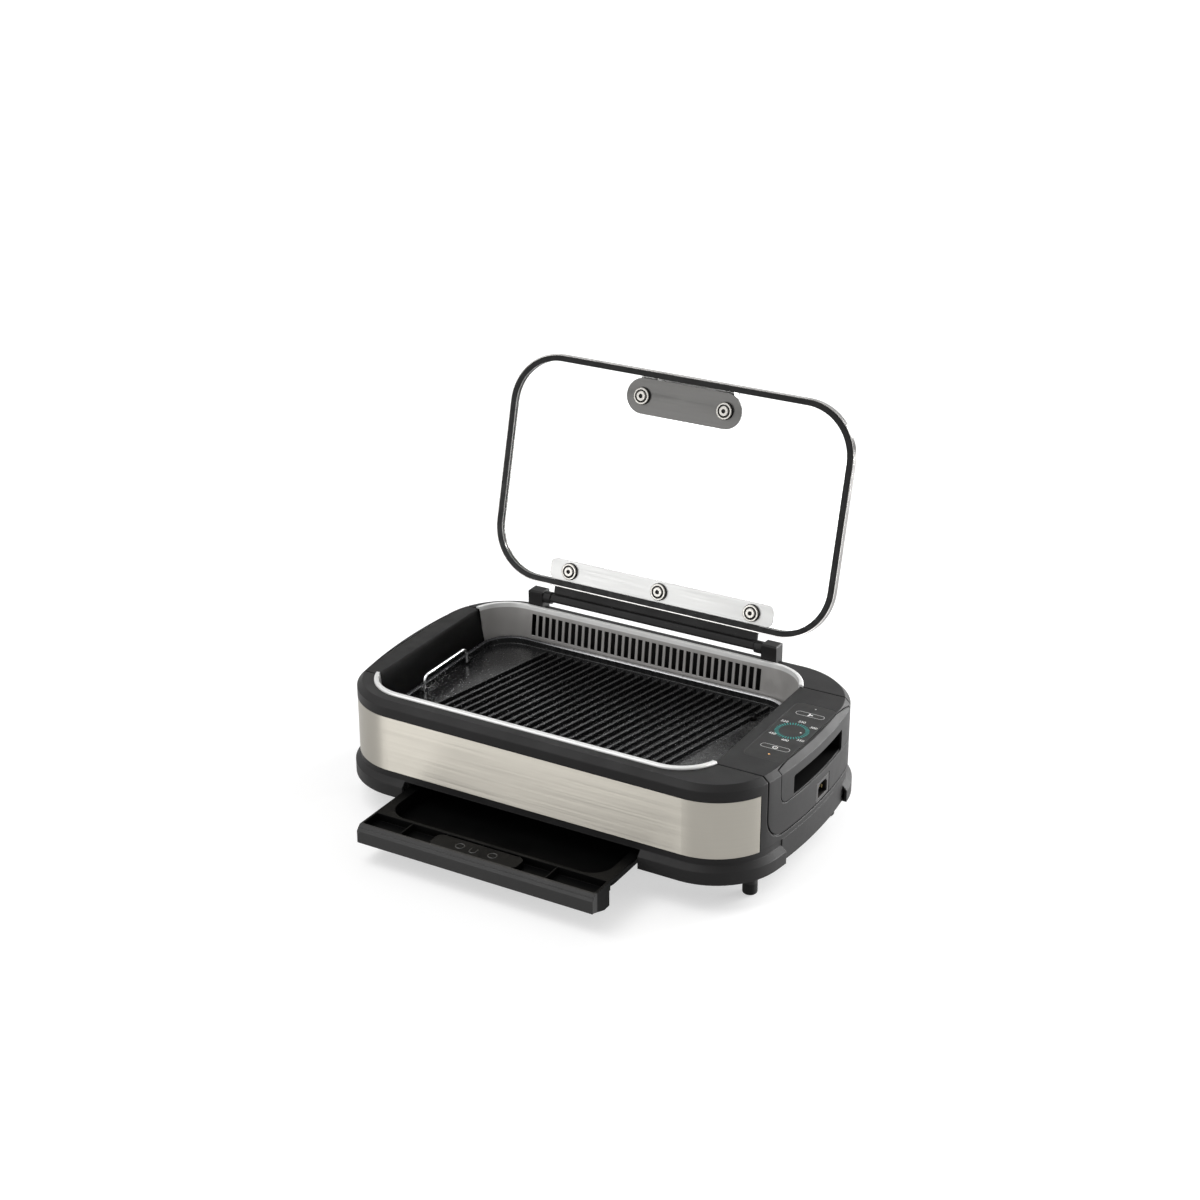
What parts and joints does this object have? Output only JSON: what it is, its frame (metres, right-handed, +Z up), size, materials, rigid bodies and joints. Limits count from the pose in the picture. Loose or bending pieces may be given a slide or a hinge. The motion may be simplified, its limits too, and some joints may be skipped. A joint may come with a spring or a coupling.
{
  "type": "indoor_grill",
  "caption": "Indoor electric grill with a hinged glass lid standing open, a ribbed removable plate, a steel-banded plastic body, a touch control end and a pulled-out drip drawer.",
  "frame": {"origin": "under the middle of the whole object, on the counter plane of the four feet", "axes": "+X along the body to the control end, +Y to the lid hinge at the back, +Z up"},
  "size_m": [0.5512, 0.5206, 0.4577],
  "materials": {
    "charcoal_plastic": "fine moulded grain",
    "dark_inner_plastic": "plain moulded",
    "brushed_band_steel": "long horizontal brushing",
    "polished_lid_steel": "polished rolled edge",
    "satin_plate_steel": "satin",
    "hinge_pin_steel": "turned",
    "silver_liner_metal": "satin silver coat",
    "shield_aluminium": "mill finish",
    "element_steel": "dull heat-darkened sheath",
    "motor_metal": "plain can",
    "nonstick_aluminium": "semi-gloss black non-stick coat",
    "bail_chrome": "bright plated wire",
    "black_drawer_plastic": "semi-gloss moulded",
    "touch_glossy": "smooth gloss",
    "board_laminate": "circuit laminate",
    "lid_glass": "clear tempered",
    "black_rubber": "matt moulded",
    "pin_brass": "drawn"
  },
  "bodies": {
    "base": {"upper_housing": "charcoal_plastic", "steel_band": "brushed_band_steel", "lower_skirt": "charcoal_plastic", "base_floor": "dark_inner_plastic", "rubber_feet": "black_rubber", "base_screws": "hinge_pin_steel", "drawer_rails": "dark_inner_plastic", "well_liner": "silver_liner_metal", "heat_shield": "shield_aluminium", "heating_element": "element_steel", "thermostat_probe": "element_steel", "fan_case": "dark_inner_plastic", "fan_motor": "motor_metal", "control_module": "charcoal_plastic", "module_grip": "charcoal_plastic", "module_hand_cup": "dark_inner_plastic", "touch_panel": "touch_glossy", "control_board": "board_laminate", "mains_inlet": "dark_inner_plastic", "inlet_pins": "pin_brass", "left_end_insert": "charcoal_plastic", "insert_grip": "charcoal_plastic", "insert_hand_cup": "dark_inner_plastic", "hinge_blocks": "charcoal_plastic", "hinge_pins": "hinge_pin_steel"},
    "lid": {"hinge_bar": "charcoal_plastic", "lid_glass": "lid_glass", "lid_rim": "polished_lid_steel", "lid_gasket": "black_rubber", "hinge_plate": "satin_plate_steel", "handle_plate": "satin_plate_steel", "handle_grip": "satin_plate_steel", "lid_washers": "black_rubber", "lid_screws": "satin_plate_steel"},
    "drawer": {"drip_drawer": "black_drawer_plastic"},
    "plate": {"grill_plate": "nonstick_aluminium"},
    "left_handle": {"left_bail": "bail_chrome"},
    "right_handle": {"right_bail": "bail_chrome"},
    "impeller": {"fan_impeller": "dark_inner_plastic"}
  },
  "joints": [
    {"name": "lid_hinge", "type": "hinge", "parent": "base", "child": "lid", "pos_m": [0, 0.15571, 0.165], "axis": [1, 0, 0], "range_deg": [0, 104.4]},
    {"name": "drawer_slide", "type": "slide", "parent": "base", "child": "drawer", "axis": [0, -1, 0], "range_m": [-0.0925, 0.08]},
    {"name": "plate_lift", "type": "slide", "parent": "base", "child": "plate", "axis": [0, 0, 1], "range_m": [0, 0.015]},
    {"name": "left_bail_fold", "type": "hinge", "parent": "plate", "child": "left_handle", "pos_m": [-0.219, 0.00171, 0.1095], "axis": [0, 1, 0], "range_deg": [0, 90]},
    {"name": "right_bail_fold", "type": "hinge", "parent": "plate", "child": "right_handle", "pos_m": [0.179, 0.00171, 0.1095], "axis": [0, -1, 0], "range_deg": [0, 110]},
    {"name": "impeller_spin", "type": "hinge", "parent": "base", "child": "impeller", "pos_m": [-0.02, 0.11871, 0.07], "axis": [0, 0, 1], "continuous": true}
  ]
}
